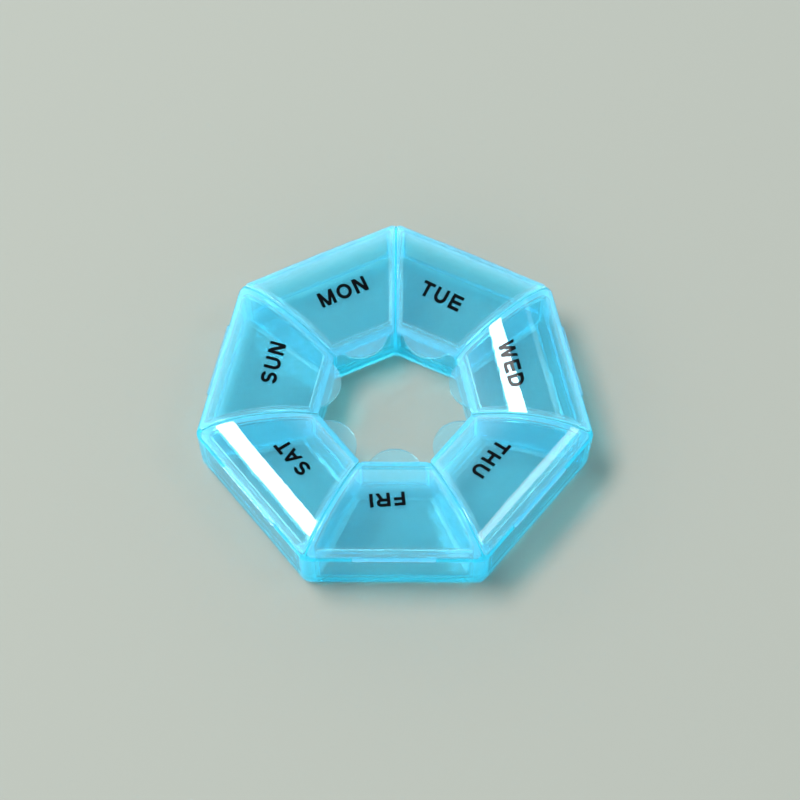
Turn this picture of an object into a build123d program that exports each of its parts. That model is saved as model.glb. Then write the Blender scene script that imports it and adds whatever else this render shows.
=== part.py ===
from build123d import *
import math
import os

# A seven-cell weekly pill box: a ring of seven cells round an open heptagonal hole, each cell
# under its own arched lid, which swings outward on a folded living hinge.
# Millimetres, +Z up. The origin is on the ring's axis, on the face that the box rests on.
# One cell is modelled at the front, with its outer side facing -Y, and turned about Z for each day.
# "Reach" below is the distance from the ring's axis, square to a cell's outer side.

# Cells, in clockwise order seen from above, from the one at the front
DAYS = ["friday", "saturday", "sunday", "monday", "tuesday", "wednesday", "thursday"]
CELL_ANGLE = 360.0 / len(DAYS)
HALF_ANGLE = math.radians(CELL_ANGLE / 2)

# Tray
rim_reach = 45.9
rim_height = 13.6
rim_overhang = 0.5
outer_wall = 1.5
outer_corner_radius = 3.0
bottom_edge_radius = 1.3
hole_reach = 17.8
hole_wall = 1.8
hole_corner_radius = 1.5
hole_edge_radius = 0.5
divider = 2.0
floor = 1.2
scoop_radius = 3.4
cell_corner_radius = 1.5

# Lid: two tangent arcs that meet at the crown, all thicknesses and depths upright
lid_setback = 0.5
lid_edge_height = 0.97
crown_setback = 9.6
crown_rise = 3.33
inner_drop = 6.26
lid_thickness = 1.1
lid_gap = 0.5
lid_corner_radius = 0.9
lid_edge_radius = 0.3
skirt_thickness = 0.7
skirt_depth = 0.6
skirt_clearance = 0.25
seat_clearance = 0.15

# Thumb tab on the lid's inner edge
tab_projection = 3.65
tab_inset = 1.75
tab_drop = 0.1
tab_root = 0.3
tab_blend_radius = 0.8

# Small raised pad in the middle of the lid's outer edge
pad_length = 4.7
pad_width = 0.9
pad_proud = 0.2

# Living hinge: one strap folded double, with its fold on the hinge axis
strap_length = 20.4
strap_leaf = 0.35
strap_slit = 0.1
strap_overlap = 0.5

# Worked out from the sizes above
strap_height = 2 * strap_leaf + strap_slit
axis_height = rim_height + strap_height / 2
lid_outer_reach = rim_reach - lid_setback
lid_foot = rim_height + strap_height
crown_reach = lid_outer_reach - crown_setback
crown_height = lid_foot + lid_edge_height + crown_rise
cell_outer_reach = rim_reach - outer_wall
cell_inner_reach = hole_reach + hole_wall
above = crown_height + lid_thickness
cell_span = 2 * rim_reach

# Nearest distance at which two points count as apart
tolerance = 1e-6


def half_width(reach, margin):
    """Half of a cell's width at a reach, keeping a margin from the planes between the cells."""
    return reach * math.tan(HALF_ANGLE) - margin / math.cos(HALF_ANGLE)


def heptagon_points(reach):
    """The corners of a heptagon with a flat side at the front, from that side's right end."""
    corner = reach / math.cos(HALF_ANGLE)
    turns = [math.radians(CELL_ANGLE * (i + 0.5) - 90) for i in range(len(DAYS))]
    return [(corner * math.cos(turn), corner * math.sin(turn)) for turn in turns]


def heptagon(reach, corner_radius):
    """A rounded heptagon with a flat side at the front, on the XY plane."""
    face = make_face(Polyline(heptagon_points(reach), close=True))
    return fillet(face.vertices(), corner_radius)


def cell_plan(inner, outer, margin):
    """The plan of one cell between two reaches, with a margin on both sides."""
    points = [
        (-half_width(inner, margin), -inner),
        (half_width(inner, margin), -inner),
        (half_width(outer, margin), -outer),
        (-half_width(outer, margin), -outer),
    ]
    return make_face(Polyline(points, close=True))


def rounded_plan(inner, outer, margin, corner_radius):
    """The same plan with rounded corners."""
    return fillet(cell_plan(inner, outer, margin).vertices(), corner_radius)


def arch_radius(run, fall):
    """The radius of an arc that starts level and falls by so much over a level run."""
    return (run**2 + fall**2) / (2 * fall)


def arch_point(reach, depth):
    """A point of the lid's arch, some depth below its upper face, as (Y, Z)."""
    if reach > crown_reach:
        radius = arch_radius(crown_setback, crown_rise)
    else:
        radius = arch_radius(crown_reach - hole_reach, inner_drop)
    fall = radius - math.sqrt(radius**2 - (reach - crown_reach) ** 2)
    return (-reach, crown_height - depth - fall)


def arch_curves(inner, outer, depth):
    """The two arcs of the arch, from the inner reach over the crown to the outer reach."""
    arcs = []
    for start, end in ((inner, crown_reach), (crown_reach, outer)):
        reaches = (start, (start + end) / 2, end)
        arcs.append(ThreePointArc(*[arch_point(reach, depth) for reach in reaches]))
    return arcs


def across(face, length):
    """A radial profile, drawn as (Y, Z), run across the cell, half of the length to each side."""
    return extrude(Plane.YZ * face, length / 2, both=True)


def arch_layer(top_depth, bottom_depth):
    """The layer between two depths below the lid's upper face, over the lid's whole reach."""
    inner, outer = hole_reach, lid_outer_reach
    curves = arch_curves(inner, outer, top_depth) + arch_curves(inner, outer, bottom_depth)
    for reach in (inner, outer):
        curves.append(Line(arch_point(reach, top_depth), arch_point(reach, bottom_depth)))
    return across(make_face(Curve() + curves), cell_span)


def ring_under_arch(inner, outer, depth):
    """A mitred ring, from the resting face up to some depth below the lids' upper faces."""
    curves = arch_curves(inner, outer, depth)
    curves.append(Line(arch_point(inner, depth), (-inner, 0)))
    curves.append(Line((-inner, 0), (-outer, 0)))
    curves.append(Line((-outer, 0), arch_point(outer, depth)))
    profile = Plane.YZ * make_face(Curve() + curves)
    # The path starts in the middle of the front side, where the profile stands square to it
    points = [(0, -crown_reach)] + heptagon_points(crown_reach)
    path = Polyline(points, close=True)
    return sweep(profile, path=path, transition=Transition.RIGHT)


def turned(solid, index):
    """A piece of the front cell, turned to the place of another day."""
    return Rot(0, 0, -CELL_ANGLE * index) * solid


def make_cell_void():
    """The hollow of one cell: floor scooped up to the outer wall, rounded corners, open at the top."""
    corners = [
        (-cell_inner_reach, above),
        (-cell_inner_reach, floor),
        (-cell_outer_reach, floor),
        (-cell_outer_reach, above),
    ]
    profile = make_face(Polyline(corners, close=True))
    profile = fillet(profile.vertices().group_by(Axis.Y)[0], scoop_radius)
    plan = rounded_plan(cell_inner_reach, cell_outer_reach, divider / 2, cell_corner_radius)
    return across(profile, cell_span) & extrude(plan, above)


def make_tray():
    """The tray: drafted outer wall, floor, and dividers and hole wall that follow the lids' arch."""
    bottom = heptagon(rim_reach - rim_overhang, outer_corner_radius)
    rim = Pos(0, 0, rim_height) * heptagon(rim_reach, outer_corner_radius)
    block = loft([bottom, rim], ruled=True)
    block = fillet(block.faces().sort_by(Axis.Z)[0].edges(), bottom_edge_radius)
    # The wall reaches a little into the cells' ring, so that the two join
    core_reach = cell_outer_reach - outer_wall / 2
    tray = block - extrude(heptagon(core_reach, outer_corner_radius), above)
    # The ring starts just inside the hole, which is cut to its rounded outline afterwards
    start_reach = hole_reach - hole_edge_radius
    tray += ring_under_arch(start_reach, cell_outer_reach, lid_thickness + seat_clearance)
    tray -= extrude(heptagon(hole_reach, hole_corner_radius), above)
    void = make_cell_void()
    for index in range(len(DAYS)):
        tray -= turned(void, index)
    hole_edges = tray.faces().sort_by(Axis.Z)[0].inner_wires()[0].edges()
    return fillet(hole_edges, hole_edge_radius)


def make_lid_plate():
    """The arched plate, with rounded corners and upper edges, and a flat foot over the rim."""
    plan = rounded_plan(hole_reach, lid_outer_reach, lid_gap / 2, lid_corner_radius)
    plate = arch_layer(0, lid_thickness) & extrude(plan, above)
    below_foot = [(-rim_reach, 0), (-crown_reach, 0), (-crown_reach, lid_foot), (-rim_reach, lid_foot)]
    plate -= across(make_face(Polyline(below_foot, close=True)), cell_span)
    upper = [face for face in plate.faces() if face.normal_at().Z > tolerance]
    crown_line = set(upper[0].edges()) & set(upper[1].edges())
    outline = [edge for face in upper for edge in face.edges() if edge not in crown_line]
    return fillet(outline, lid_edge_radius)


def make_skirt():
    """The plug skirt under the plate, inside the cell's walls."""
    inner = cell_inner_reach + skirt_clearance
    outer = cell_outer_reach - skirt_clearance
    margin = divider / 2 + skirt_clearance
    corner = cell_corner_radius - skirt_clearance
    ring = extrude(rounded_plan(inner, outer, margin, corner), above)
    ring -= extrude(
        cell_plan(inner + skirt_thickness, outer - skirt_thickness, margin + skirt_thickness), above
    )
    return arch_layer(lid_thickness / 2, lid_thickness + skirt_depth) & ring


def make_tab():
    """The thumb tab: a flat round segment over the hole, blended into the lid's inner edge."""
    tip_reach = hole_reach - tab_projection
    top = arch_point(hole_reach, 0)[1] - tab_drop
    bottom = arch_point(hole_reach + tab_root, lid_thickness)[1]
    root_half = half_width(hole_reach, lid_gap)
    root = Pos(0, -hole_reach - tab_root / 2) * Rectangle(2 * root_half, tab_root)
    ends = root_half - tab_inset
    rim = ThreePointArc((-ends, -hole_reach), (0, -tip_reach), (ends, -hole_reach))
    plan = root + make_face(Curve() + [rim, Line((-ends, -hole_reach), (ends, -hole_reach))])
    on_edge = [point for point in plan.vertices() if abs(point.Y + hole_reach) < tolerance]
    joins = [point for point in on_edge if abs(point.X) < root_half - tolerance]
    plan = fillet(joins, tab_blend_radius)
    return Pos(0, 0, bottom) * extrude(plan, top - bottom)


def make_pad():
    """The small raised pad on the plate's outer edge."""
    middle = lid_outer_reach - pad_width / 2
    plan = Pos(0, -middle) * Rectangle(pad_length, pad_width)
    return arch_layer(-pad_proud, lid_edge_height / 2) & extrude(plan, above)


def make_lid():
    """One lid: plate, skirt, thumb tab and pad in one piece."""
    return make_lid_plate() + make_skirt() + make_tab() + make_pad()


def make_strap():
    """The living hinge, folded shut: two leaves and the round fold on the hinge axis."""
    root_reach = lid_outer_reach - strap_overlap
    leaf_length = rim_reach - root_reach
    middle = -(root_reach + rim_reach) / 2
    profile = Pos(middle, axis_height) * Rectangle(leaf_length, strap_height)
    profile += Pos(-rim_reach, axis_height) * Circle(strap_height / 2)
    slit_length = leaf_length - strap_leaf
    profile -= Pos(-root_reach - slit_length / 2, axis_height) * Rectangle(slit_length, strap_slit)
    return across(profile, strap_length)


def main():
    os.makedirs("parts", exist_ok=True)
    export_step(make_tray(), "parts/base_tray.step")
    lid = make_lid()
    strap = make_strap()
    for index, day in enumerate(DAYS):
        export_step(turned(lid, index), f"parts/lid_{day}.step")
        export_step(turned(strap, index), f"parts/hinge_{day}.step")


main()
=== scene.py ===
import math

import bmesh
import bpy
from mathutils import Matrix, Vector
from mathutils.geometry import delaunay_2d_cdt


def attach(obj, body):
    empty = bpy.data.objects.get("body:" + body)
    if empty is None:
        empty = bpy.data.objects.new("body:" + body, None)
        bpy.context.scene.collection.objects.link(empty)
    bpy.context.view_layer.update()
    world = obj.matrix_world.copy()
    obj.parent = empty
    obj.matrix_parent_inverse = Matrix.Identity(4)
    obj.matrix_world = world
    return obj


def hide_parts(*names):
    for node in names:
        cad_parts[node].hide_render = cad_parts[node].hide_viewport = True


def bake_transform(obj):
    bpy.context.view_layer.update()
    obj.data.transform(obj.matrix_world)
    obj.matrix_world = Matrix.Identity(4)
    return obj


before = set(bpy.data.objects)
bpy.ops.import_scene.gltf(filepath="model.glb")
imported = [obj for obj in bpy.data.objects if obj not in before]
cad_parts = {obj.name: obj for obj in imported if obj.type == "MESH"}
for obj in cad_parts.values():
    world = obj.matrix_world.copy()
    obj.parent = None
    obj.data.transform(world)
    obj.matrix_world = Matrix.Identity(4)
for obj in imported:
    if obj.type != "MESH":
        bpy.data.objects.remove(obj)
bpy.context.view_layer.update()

# Looks of a seven-cell weekly pill box in clear blue plastic: the moulded tray and lids, folded hinge
# straps, and the day names in black ink. Metres, in the same frame as the solids.
# "Reach" is the distance from the ring's axis, square to a cell's outer side.

MM = 0.001
DAYS = ["friday", "saturday", "sunday", "monday", "tuesday", "wednesday", "thursday"]
CELL_ANGLE = 2 * math.pi / len(DAYS)

# Lid arch, as in the solids: its crown, and the radii of its arcs outward and inward of the crown
CROWN_REACH = 35.8 * MM
CROWN_HEIGHT = 18.7 * MM
OUTER_ARCH_RADIUS = 15.503 * MM
INNER_ARCH_RADIUS = 29.009 * MM

# Blue plastic: dye and haze per metre. Light that comes straight from a lamp meets less dye.
DYE = (0.04, 0.96, 0.995)
DYE_DENSITY = 400.0
LAMP_DYE_DENSITY = 200.0
HAZE_DENSITY = 90.0
PLASTIC_IOR = 1.49
# The part of a lamp's light that each face lets through
FACE_PASS = (0.81, 0.81, 0.81, 1.0)
# Zones of the pieces: face colour, and the part of the light that the face scatters
TRAY_WALL = ((0.65, 0.9, 1.0), 0.0)
CELL_FLOOR = ((0.8, 0.9, 0.98), 0.02)
# The floor's band is painted light: a whiter face that scatters more, for light let through by the walls
# there
CELL_FLOOR_PAINTED_LIGHT = ((0.95, 0.95, 1.0), 0.17)
LID_WINDOW = ((0.65, 0.9, 1.0), 0.012)
LID_RIM = ((0.75, 0.9, 0.98), 0.05)
HINGE_STRAP = ((0.65, 0.9, 1.0), 0.06)
# Roughness of the faces, and how strong their ripple is
TRAY_FINISH = (0.02, 0.1)
LID_FINISH = (0.02, 0.3)
STRAP_FINISH = (0.08, 0.1)
# Handling varies the roughness in patches, between these shares of it
POLISHED = 0.6
WORN = 1.4
PATCH_SCALE = 90.0
PATCH_DETAIL = 4.0
RIPPLE_SCALE = 120.0
RIPPLE_DETAIL = 2.0
RIPPLE_DEPTH = 0.2 * MM
# A cell's floor lies below a height, and has a paler band of painted light along the dividers and the hole
# wall, for light let through by the walls there. It has none along the outer wall, because its middle field
# ends beyond that wall.
CELL_FLOOR_TOP = 1.25 * MM
CELL_FLOOR_SIDE = 1.9 * MM
CELL_FLOOR_INNER = 22.7 * MM
CELL_FLOOR_OUTER = 46.0 * MM
# The clear window of a lid: its distance from the plane between two cells, and its reaches
WINDOW_SIDE = 1.95 * MM
WINDOW_INNER = 20.55 * MM
WINDOW_OUTER = 43.45 * MM

# Ink: roughness, gloss, its grain, and its darkest and palest shade
INK_ROUGHNESS = 0.08
INK_GLOSS = 0.08
INK_GRAIN_SCALE = 2500.0
INK_GRAIN_DETAIL = 3.0
INK_DARK = (0.001, 0.001, 0.0012, 1.0)
INK_PALE = (0.004, 0.004, 0.005, 1.0)

# Hinge strap, of the solids' sizes, with its leaves a little clear of the rim and of the lid
RIM_REACH = 45.9 * MM
AXIS_HEIGHT = 14.0 * MM
STRAP_LENGTH = 20.4 * MM
STRAP_LEAF = 0.35 * MM
STRAP_SLIT = 0.1 * MM
STRAP_RUN = 1.0 * MM
STRAP_CLEAR = 0.02 * MM
FOLD_STEPS = 24
# Edges that turn by more than this are drawn sharp
SHARP_ANGLE = math.radians(40)

# Day names: word, reach of its middle and shift to its right in millimetres, and turn in degrees
LABELS = {
    "monday": ("MON", 31.0, 0.0, 0.0),
    "tuesday": ("TUE", 29.4, -1.2, -2.8),
    "wednesday": ("WED", 30.1, -0.5, 0.0),
    "thursday": ("THU", 30.9, 0.8, 0.0),
    "friday": ("FRI", 31.3, 1.7, 5.5),
    "saturday": ("SAT", 32.0, 0.1, 0.0),
    "sunday": ("SUN", 31.45, 0.0, 0.7),
}
# Letters, in millimetres
LETTER_HEIGHT = 4.08
LETTER_STROKE = 0.88
ARC_STEPS = 20
# Each letter's width, and the room that it keeps at its left and its right
LETTERS = {
    "A": (3.8, 0.25, 0.25),
    "D": (3.5, 0.5, 0.3),
    "E": (3.05, 0.5, 0.4),
    "F": (2.75, 0.5, 0.4),
    "H": (3.35, 0.5, 0.5),
    "I": (LETTER_STROKE, 0.5, 0.5),
    "M": (4.1, 0.5, 0.5),
    "N": (3.4, 0.5, 0.5),
    "O": (3.95, 0.3, 0.3),
    "R": (3.6, 0.5, 0.1),
    "S": (3.2, 0.3, 0.4),
    "T": (3.2, 0.25, 0.25),
    "U": (3.35, 0.5, 0.5),
    "W": (5.1, 0.25, 0.25),
}
# Pairs that are drawn closer together
TUCKED = {"AT": 0.5}
# Shares of a letter's height: where the A's bar and the R's waist lie
A_BAR = 0.22
R_WAIST = 0.42
# Shares of a letter's width: how far the R's bowl reaches, and where its leg starts
R_BOWL = 0.94
R_LEG_TOP = 0.42
# Shares of the stroke: the width of the R's leg and of the N's diagonal, measured level
R_LEG = 1.1
N_DIAGONAL = 1.2
# The S is two bends, each from one end of the letter round to its middle, in degrees
S_UPPER = (20, 270)
S_LOWER = (-160, 90)
# Points of the letters that lie closer than this, in millimetres, are merged
MERGE_DISTANCE = 1e-4
# The ink follows the lid's arch in steps, and stands a little proud of it
LETTER_STEP = 0.4 * MM
INK_LIFT = 0.02 * MM
INK_DEPTH = 0.03 * MM

# Floor under the box: half its side, how far it lies below the box, and its paint
FLOOR_SIZE = 3.0
FLOOR_DROP = 0.2 * MM
FLOOR_COLOUR = (144, 147, 139)
FLOOR_ROUGHNESS = 0.8
FLOOR_GLOSS = 0.1

# Room light: dim overhead and bright towards the horizon, more so on the left. It fades between two
# shares of the way up, along a direction that leans to the right.
ROOM_COLOUR = (0.91, 1.0, 1.05, 1.0)
ROOM_UP = (0.2, 0.0, 0.98)
ROOM_BRIGHT_BELOW = 0.3
ROOM_DIM_ABOVE = 0.7
ROOM_BRIGHT = 1.9
ROOM_DIM = 0.2

# Oval lamps: name, place in metres, width, height and watts
LAMPS = [
    ("key", (-1.25, 0.5, 2.5), 2.0, 0.93, 115.0),
    ("fill", (2.0, 0.0, 2.5), 0.8, 0.8, 10.5),
    ("back", (0.87, 1.7, 2.5), 0.45, 0.45, 0.7),
]

# Camera, with its sensor and lens in millimetres
CAMERA_SENSOR = 36.0
CAMERA_LENS = 121.35
CAMERA_PLACE = Vector((2.73 * MM, -327.6 * MM, 606.8 * MM))
CAMERA_AIM = Vector((1.215 * MM, 6.536 * MM, 0))


def linear(value):
    """One sRGB channel, 0 to 255, as the linear value that shaders take."""
    share = value / 255
    return share / 12.92 if share <= 0.04045 else ((share + 0.055) / 1.055) ** 2.4


def colour(red, green, blue):
    return (linear(red), linear(green), linear(blue), 1.0)


def day_turn(day):
    """The turn that takes the front cell to a day's place."""
    return Matrix.Rotation(-CELL_ANGLE * DAYS.index(day), 4, "Z")


def arch_height(reach):
    """The height of a lid's upper face."""
    radius = OUTER_ARCH_RADIUS if reach > CROWN_REACH else INNER_ARCH_RADIUS
    return CROWN_HEIGHT - radius + math.sqrt(radius**2 - (reach - CROWN_REACH) ** 2)


def new_object(name, data):
    obj = bpy.data.objects.new(name, data)
    bpy.context.scene.collection.objects.link(obj)
    return obj


# Materials


def node(tree, kind, **values):
    """A shader node with some of its sockets set."""
    made = tree.nodes.new(kind)
    for key, value in values.items():
        made.inputs[key.replace("_", " ")].default_value = value
    return made


def worked_out(tree, operation, *values):
    """The result of a sum in a material, from other results and plain numbers."""
    made = tree.nodes.new("ShaderNodeMath")
    made.operation = operation
    for socket, value in zip(made.inputs, values):
        if isinstance(value, (int, float)):
            socket.default_value = value
        else:
            tree.links.new(value, socket)
    return made.outputs["Value"]


def outside_field(tree, place, side, inner, outer):
    """0 in the middle field of a cell or lid, 1 around it.

    The field keeps a distance from the planes between the cells, and lies between two reaches.
    """
    parts = node(tree, "ShaderNodeSeparateXYZ")
    tree.links.new(place.outputs["Object"], parts.inputs["Vector"])
    across = parts.outputs["X"]
    forward = worked_out(tree, "MULTIPLY", parts.outputs["Y"], -1)
    # Each cell is taken back to the front: its turn is left out of the angle
    angle = worked_out(tree, "ARCTAN2", across, forward)
    cell = worked_out(tree, "ROUND", worked_out(tree, "DIVIDE", angle, CELL_ANGLE))
    angle = worked_out(tree, "SUBTRACT", angle, worked_out(tree, "MULTIPLY", cell, CELL_ANGLE))
    squares = [worked_out(tree, "MULTIPLY", value, value) for value in (across, forward)]
    distance = worked_out(tree, "SQRT", worked_out(tree, "ADD", *squares))
    reach = worked_out(tree, "MULTIPLY", distance, worked_out(tree, "COSINE", angle))
    # The angle that is left to the plane between two cells gives the distance from it
    spare = worked_out(tree, "SUBTRACT", CELL_ANGLE / 2, worked_out(tree, "ABSOLUTE", angle))
    from_side = worked_out(tree, "MULTIPLY", distance, worked_out(tree, "SINE", spare))
    margins = [
        worked_out(tree, "SUBTRACT", from_side, side),
        worked_out(tree, "SUBTRACT", reach, inner),
        worked_out(tree, "SUBTRACT", outer, reach),
    ]
    margin = worked_out(tree, "MINIMUM", worked_out(tree, "MINIMUM", *margins[:2]), margins[2])
    return worked_out(tree, "LESS_THAN", margin, 0)


def lid_zone(tree, place):
    """0 over a lid's window, 1 on its rim and thumb tab."""
    return outside_field(tree, place, WINDOW_SIDE, WINDOW_INNER, WINDOW_OUTER)


def tray_zone(tree, place):
    """0 on the tray's walls, a half on the floor of a cell, 1 on that floor's band of painted light."""
    parts = node(tree, "ShaderNodeSeparateXYZ")
    tree.links.new(place.outputs["Object"], parts.inputs["Vector"])
    low = worked_out(tree, "LESS_THAN", parts.outputs["Z"], CELL_FLOOR_TOP)
    # The band along the dividers and the hole wall is painted light
    painted_light_band = outside_field(tree, place, CELL_FLOOR_SIDE, CELL_FLOOR_INNER, CELL_FLOOR_OUTER)
    return worked_out(tree, "MULTIPLY", low, worked_out(tree, "MULTIPLY_ADD", painted_light_band, 0.5, 0.5))


def zoned_faces(tree, shader, place, zones, zone):
    """A face colour and a scatter for each zone of a piece: a value from 0 to 1 says where a point lies."""
    ramp = node(tree, "ShaderNodeValToRGB")
    stops = ramp.color_ramp.elements
    for i in range(1, len(zones) - 1):
        stops.new(i / (len(zones) - 1))
    # A stop's alpha holds the part of the light that goes through
    for stop, (face, frost) in zip(stops, zones):
        stop.color = (*face, 1.0 - frost)
    tree.links.new(zone(tree, place), ramp.inputs["Fac"])
    tree.links.new(ramp.outputs["Color"], shader.inputs["Base Color"])
    tree.links.new(ramp.outputs["Alpha"], shader.inputs["Transmission Weight"])


def used_faces(tree, shader, place, roughness, ripple):
    """Patches that handling left a little less polished, on moulded faces that are never quite flat."""
    patches = node(tree, "ShaderNodeTexNoise", Scale=PATCH_SCALE, Detail=PATCH_DETAIL)
    spread = node(tree, "ShaderNodeMapRange", To_Min=roughness * POLISHED, To_Max=roughness * WORN)
    tree.links.new(place.outputs["Object"], patches.inputs["Vector"])
    tree.links.new(patches.outputs["Fac"], spread.inputs["Value"])
    tree.links.new(spread.outputs["Result"], shader.inputs["Roughness"])
    waves = node(tree, "ShaderNodeTexNoise", Scale=RIPPLE_SCALE, Detail=RIPPLE_DETAIL)
    bump = node(tree, "ShaderNodeBump", Strength=ripple, Distance=RIPPLE_DEPTH)
    tree.links.new(place.outputs["Object"], waves.inputs["Vector"])
    tree.links.new(waves.outputs["Fac"], bump.inputs["Height"])
    tree.links.new(bump.outputs["Normal"], shader.inputs["Normal"])


def dyed_inside(tree, path, output):
    """Dye that takes the red out of the light on its way through, and haze that spreads the light."""
    dye = node(tree, "ShaderNodeVolumeAbsorption", Color=(*DYE, 1.0))
    lost = node(tree, "ShaderNodeMapRange", To_Min=DYE_DENSITY, To_Max=LAMP_DYE_DENSITY)
    tree.links.new(path.outputs["Is Shadow Ray"], lost.inputs["Value"])
    tree.links.new(lost.outputs["Result"], dye.inputs["Density"])
    mist = node(tree, "ShaderNodeVolumeScatter", Color=(1.0, 1.0, 1.0, 1.0), Density=HAZE_DENSITY)
    both = node(tree, "ShaderNodeAddShader")
    tree.links.new(dye.outputs["Volume"], both.inputs[0])
    tree.links.new(mist.outputs["Volume"], both.inputs[1])
    tree.links.new(both.outputs["Shader"], output.inputs["Volume"])


def clear_plastic(name, finish, zones, zone=None):
    """Dyed clear plastic, a little hazy, that light bends through."""
    material = bpy.data.materials.new(name)
    material.use_nodes = True
    tree = material.node_tree
    shader = tree.nodes["Principled BSDF"]
    output = tree.nodes["Material Output"]
    face, frost = zones[0]
    shader.inputs["Base Color"].default_value = (*face, 1.0)
    shader.inputs["Transmission Weight"].default_value = 1.0 - frost
    shader.inputs["IOR"].default_value = PLASTIC_IOR
    place = node(tree, "ShaderNodeTexCoord")
    path = node(tree, "ShaderNodeLightPath")
    if zone:
        zoned_faces(tree, shader, place, zones, zone)
    used_faces(tree, shader, place, *finish)
    dyed_inside(tree, path, output)
    # Lamps shine through to what is inside and below, with a little lost at each face
    passing = node(tree, "ShaderNodeBsdfTransparent", Color=FACE_PASS)
    either = node(tree, "ShaderNodeMixShader")
    tree.links.new(path.outputs["Is Shadow Ray"], either.inputs[0])
    tree.links.new(shader.outputs["BSDF"], either.inputs[1])
    tree.links.new(passing.outputs["BSDF"], either.inputs[2])
    tree.links.new(either.outputs["Shader"], output.inputs["Surface"])
    return material


def ink(name):
    """Black printed ink, a little worn."""
    material = bpy.data.materials.new(name)
    material.use_nodes = True
    tree = material.node_tree
    shader = tree.nodes["Principled BSDF"]
    shader.inputs["Roughness"].default_value = INK_ROUGHNESS
    shader.inputs["Specular IOR Level"].default_value = INK_GLOSS
    place = node(tree, "ShaderNodeTexCoord")
    grain = node(tree, "ShaderNodeTexNoise", Scale=INK_GRAIN_SCALE, Detail=INK_GRAIN_DETAIL)
    shades = node(tree, "ShaderNodeValToRGB")
    shades.color_ramp.elements[0].color = INK_DARK
    shades.color_ramp.elements[1].color = INK_PALE
    tree.links.new(place.outputs["Object"], grain.inputs["Vector"])
    tree.links.new(grain.outputs["Fac"], shades.inputs["Fac"])
    tree.links.new(shades.outputs["Color"], shader.inputs["Base Color"])
    return material


def matte(name, base):
    """The plain floor."""
    material = bpy.data.materials.new(name)
    material.use_nodes = True
    tree = material.node_tree
    shader = tree.nodes["Principled BSDF"]
    shader.inputs["Base Color"].default_value = base
    shader.inputs["Roughness"].default_value = FLOOR_ROUGHNESS
    shader.inputs["Specular IOR Level"].default_value = FLOOR_GLOSS
    return material


tray_zones = [TRAY_WALL, CELL_FLOOR, CELL_FLOOR_PAINTED_LIGHT]
tray_plastic = clear_plastic("tray_plastic", TRAY_FINISH, tray_zones, tray_zone)
lid_plastic = clear_plastic("lid_plastic", LID_FINISH, [LID_WINDOW, LID_RIM], lid_zone)
hinge_plastic = clear_plastic("hinge_plastic", STRAP_FINISH, [HINGE_STRAP])
black_ink = ink("black_ink")


def dress(obj, material):
    obj.data.materials.clear()
    obj.data.materials.append(material)


for name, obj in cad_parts.items():
    if name.startswith("lid_"):
        dress(obj, lid_plastic)
    elif name == "base_tray":
        dress(obj, tray_plastic)


# Hinge straps: one sheet folded double, with its fold on the hinge axis


def strap_section():
    """The outline of the folded strap, as (reach, height), going round it once."""
    outer = STRAP_LEAF + STRAP_SLIT / 2 - STRAP_CLEAR
    inner = STRAP_SLIT / 2
    root = RIM_REACH - STRAP_RUN

    def fold(radius):
        points = []
        for i in range(FOLD_STEPS + 1):
            angle = math.pi * i / FOLD_STEPS - math.pi / 2
            points.append((RIM_REACH + radius * math.cos(angle), AXIS_HEIGHT + radius * math.sin(angle)))
        return points

    outside = [(root, AXIS_HEIGHT - outer)] + fold(outer) + [(root, AXIS_HEIGHT + outer)]
    inside = [(root, AXIS_HEIGHT + inner)] + fold(inner)[::-1] + [(root, AXIS_HEIGHT - inner)]
    return outside + inside


def strap_mesh(day):
    section = strap_section()
    mesh = bmesh.new()
    ends = []
    for side in (-STRAP_LENGTH / 2, STRAP_LENGTH / 2):
        ends.append([mesh.verts.new((side, -reach, height)) for reach, height in section])
    count = len(section)
    for i in range(count):
        j = (i + 1) % count
        face = mesh.faces.new((ends[0][i], ends[1][i], ends[1][j], ends[0][j]))
        face.smooth = True
    # Each end is closed by a strip between the outer and the inner outline
    half = count // 2
    for end in ends:
        for i in range(half - 1):
            mesh.faces.new((end[i], end[i + 1], end[count - 2 - i], end[count - 1 - i]))
    bmesh.ops.recalc_face_normals(mesh, faces=mesh.faces)
    for edge in mesh.edges:
        edge.smooth = edge.calc_face_angle() < SHARP_ANGLE
    mesh.transform(day_turn(day))
    data = bpy.data.meshes.new(f"strap_{day}")
    mesh.to_mesh(data)
    mesh.free()
    return data


for day in DAYS:
    strap = new_object(f"strap_{day}", strap_mesh(day))
    dress(strap, hinge_plastic)
    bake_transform(strap)
    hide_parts(f"hinge_{day}")


# Day names in ink on the lids


def bar(left, right, low, high):
    return [(left, low), (right, low), (right, high), (left, high)]


def slant(foot, top, low, high, width):
    """A leaning stroke, cut level at both ends, from its left corners below and above."""
    return [(foot, low), (foot + width, low), (top + width, high), (top, high)]


def bend(middle, half_width, half_height, start, end):
    """A stroke along an arc of an ellipse, between two angles in degrees."""
    points = []
    for inset, first, last in ((0, start, end), (LETTER_STROKE, end, start)):
        for i in range(ARC_STEPS + 1):
            angle = math.radians(first + (last - first) * i / ARC_STEPS)
            across = (half_width - inset) * math.cos(angle)
            up = (half_height - inset) * math.sin(angle)
            points.append((middle[0] + across, middle[1] + up))
    return points


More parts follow.
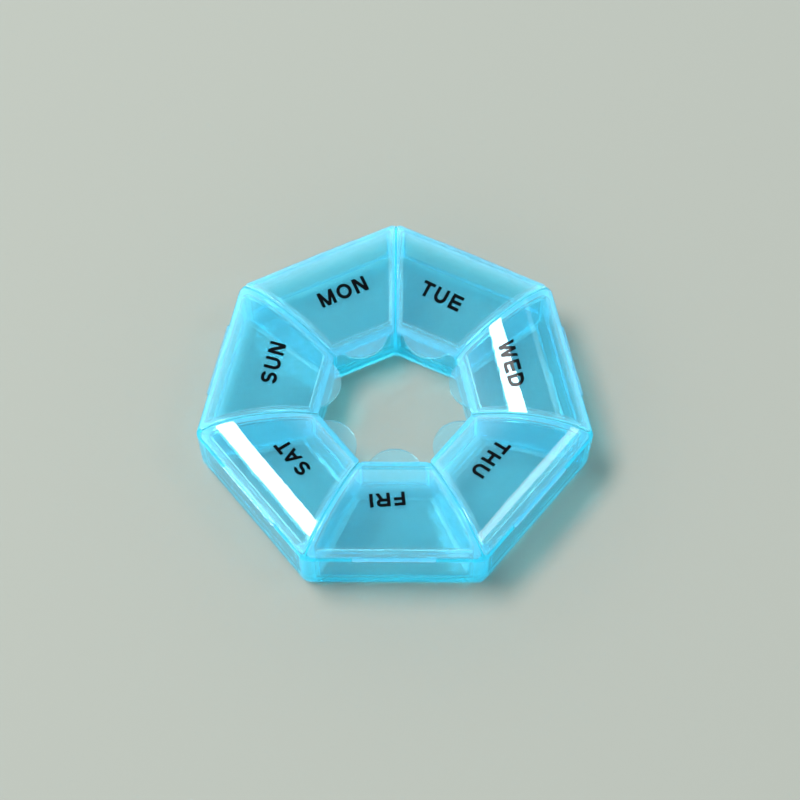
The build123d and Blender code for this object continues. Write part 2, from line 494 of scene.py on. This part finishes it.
def letter_strokes(letter):
    """The strokes of a capital, as polygons that overlap where they join."""
    width = LETTERS[letter][0]
    height = LETTER_HEIGHT
    stroke = LETTER_STROKE
    mid = width / 2
    left = bar(0, stroke, 0, height)
    right = bar(width - stroke, width, 0, height)
    top = bar(0, width, height - stroke, height)
    cross = bar(0, width, (height - stroke) / 2, (height + stroke) / 2)
    if letter == "I":
        return [left]
    if letter == "T":
        return [top, bar(mid - stroke / 2, mid + stroke / 2, 0, height)]
    if letter == "E":
        return [left, top, cross, bar(0, width, 0, stroke)]
    if letter == "F":
        return [left, top, cross]
    if letter == "H":
        return [left, right, cross]
    if letter == "N":
        diagonal = N_DIAGONAL * stroke
        return [left, right, slant(width - diagonal, 0, 0, height, diagonal)]
    if letter == "M":
        foot = mid - stroke / 2
        return [left, right] + [slant(foot, peak, 0, height, stroke) for peak in (0, width - stroke)]
    if letter == "W":
        quarter = (width - stroke) / 4
        feet_and_peaks = ((1, 0), (1, 2), (3, 2), (3, 4))
        return [slant(foot * quarter, peak * quarter, 0, height, stroke) for foot, peak in feet_and_peaks]
    if letter == "A":
        peak = mid - stroke / 2
        low = A_BAR * height
        legs = [slant(foot, peak, 0, height, stroke) for foot in (0, width - stroke)]
        return legs + [bar(stroke, width - stroke, low, low + stroke)]
    if letter == "O":
        half = height / 2
        return [bend((mid, half), mid, half, start, start + 180) for start in (0, 180)]
    if letter == "U":
        stems = [bar(0, stroke, mid, height), bar(width - stroke, width, mid, height)]
        return stems + [bend((mid, mid), mid, mid, 180, 360)]
    if letter == "S":
        half = (height + stroke) / 4
        return [bend((mid, height - half), mid, half, *S_UPPER), bend((mid, half), mid, half, *S_LOWER)]
    # D and R have a stem, and a bowl as high as the letter or as its upper part
    low = 0 if letter == "D" else R_WAIST * height
    half = (height - low) / 2
    bowl = width - half if letter == "D" else R_BOWL * width - half
    strokes = [left, bar(0, bowl, height - stroke, height), bar(0, bowl, low, low + stroke)]
    strokes.append(bend((bowl, low + half), half, half, -90, 90))
    if letter == "R":
        leg = R_LEG * stroke
        strokes.append(slant(width - leg, R_LEG_TOP * width, 0, low + stroke / 2, leg))
    return strokes


def word_outline(word):
    """A word's flat letters in millimetres, with the word's middle at the origin."""
    polygons = []
    place = -LETTERS[word[0]][1]
    for i, letter in enumerate(word):
        width, before, after = LETTERS[letter]
        place += before - TUCKED.get(word[i - 1 : i + 1], 0)
        polygons += [[(x + place, y) for x, y in stroke] for stroke in letter_strokes(letter)]
        place += width + after
    length = place - after
    points = []
    faces = []
    for polygon in polygons:
        faces.append(list(range(len(points), len(points) + len(polygon))))
        points += [Vector((x - length / 2, y - LETTER_HEIGHT / 2)) for x, y in polygon]
    # Overlapping strokes are merged: only the triangles that lie in some stroke are kept
    spots, _, triangles, _, _, owners = delaunay_2d_cdt(points, [], faces, 0, MERGE_DISTANCE, True)
    flat = bmesh.new()
    verts = [flat.verts.new((spot.x * MM, spot.y * MM, 0)) for spot in spots]
    for triangle, owner in zip(triangles, owners):
        if owner:
            flat.faces.new([verts[i] for i in triangle])
    bmesh.ops.delete(flat, geom=[vert for vert in flat.verts if not vert.link_faces], context="VERTS")
    return flat


def label_mesh(day):
    """A day's name laid on its lid, the letters' tops outward."""
    word, reach, shift, turn = LABELS[day]
    flat = word_outline(word)
    flat.transform(Matrix.Rotation(math.radians(turn), 4, "Z"))
    low = min(vert.co.y for vert in flat.verts)
    high = max(vert.co.y for vert in flat.verts)
    cut = low + LETTER_STEP
    while cut < high:
        bmesh.ops.bisect_plane(
            flat,
            geom=flat.verts[:] + flat.edges[:] + flat.faces[:],
            plane_co=(0, cut, 0),
            plane_no=(0, 1, 0),
        )
        cut += LETTER_STEP
    top = list(flat.faces)
    walls = bmesh.ops.extrude_face_region(flat, geom=top)["geom"]
    raised = {item for item in walls if isinstance(item, bmesh.types.BMVert)}
    for vert in flat.verts:
        out = reach * MM + vert.co.y
        lift = INK_LIFT if vert in raised else INK_LIFT - INK_DEPTH
        vert.co = Vector((-(vert.co.x + shift * MM), -out, arch_height(out) + lift))
    bmesh.ops.recalc_face_normals(flat, faces=flat.faces)
    flat.transform(day_turn(day))
    data = bpy.data.meshes.new(f"label_{day}")
    flat.to_mesh(data)
    flat.free()
    return data


for day in DAYS:
    label = new_object(f"label_{day}", label_mesh(day))
    dress(label, black_ink)
    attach(label, f"{day}_lid")


# Floor, light and camera

floor_mesh = bmesh.new()
bmesh.ops.create_grid(floor_mesh, x_segments=1, y_segments=1, size=FLOOR_SIZE)
floor_data = bpy.data.meshes.new("floor")
floor_mesh.to_mesh(floor_data)
floor_mesh.free()
floor = new_object("floor", floor_data)
floor.location.z = -FLOOR_DROP
dress(floor, matte("floor_paint", colour(*FLOOR_COLOUR)))

world = bpy.data.worlds.new("studio")
bpy.context.scene.world = world
world.use_nodes = True
sky = world.node_tree
background = sky.nodes["Background"]
background.inputs["Color"].default_value = ROOM_COLOUR
direction = node(sky, "ShaderNodeTexCoord")
rise = node(sky, "ShaderNodeVectorMath")
rise.operation = "DOT_PRODUCT"
rise.inputs[1].default_value = ROOM_UP
glow = node(
    sky,
    "ShaderNodeMapRange",
    From_Min=ROOM_BRIGHT_BELOW,
    From_Max=ROOM_DIM_ABOVE,
    To_Min=ROOM_BRIGHT,
    To_Max=ROOM_DIM,
)
sky.links.new(direction.outputs["Generated"], rise.inputs[0])
sky.links.new(rise.outputs["Value"], glow.inputs["Value"])
sky.links.new(glow.outputs["Result"], background.inputs["Strength"])


def softbox(name, place, width, height, power):
    """A soft oval lamp turned to the object."""
    lamp = bpy.data.lights.new(name, "AREA")
    lamp.shape = "ELLIPSE"
    lamp.size = width
    lamp.size_y = height
    lamp.energy = power
    obj = new_object(name, lamp)
    obj.location = place
    obj.rotation_euler = (-Vector(place)).to_track_quat("-Z", "Y").to_euler()


for lamp in LAMPS:
    softbox(*lamp)

camera = bpy.data.cameras.new("camera")
camera.sensor_width = CAMERA_SENSOR
camera.lens = CAMERA_LENS
camera_object = new_object("camera", camera)
camera_object.location = CAMERA_PLACE
aim = CAMERA_AIM - CAMERA_PLACE
camera_object.rotation_euler = aim.to_track_quat("-Z", "Y").to_euler()
bpy.context.scene.camera = camera_object

scene = bpy.context.scene
scene.view_settings.view_transform = "Standard"
scene.cycles.max_bounces = 24
scene.cycles.transmission_bounces = 24
scene.cycles.glossy_bounces = 8
scene.cycles.diffuse_bounces = 4
scene.cycles.volume_bounces = 6
scene.cycles.transparent_max_bounces = 24
scene.cycles.blur_glossy = 0.0
scene.cycles.caustics_reflective = False
scene.cycles.caustics_refractive = True
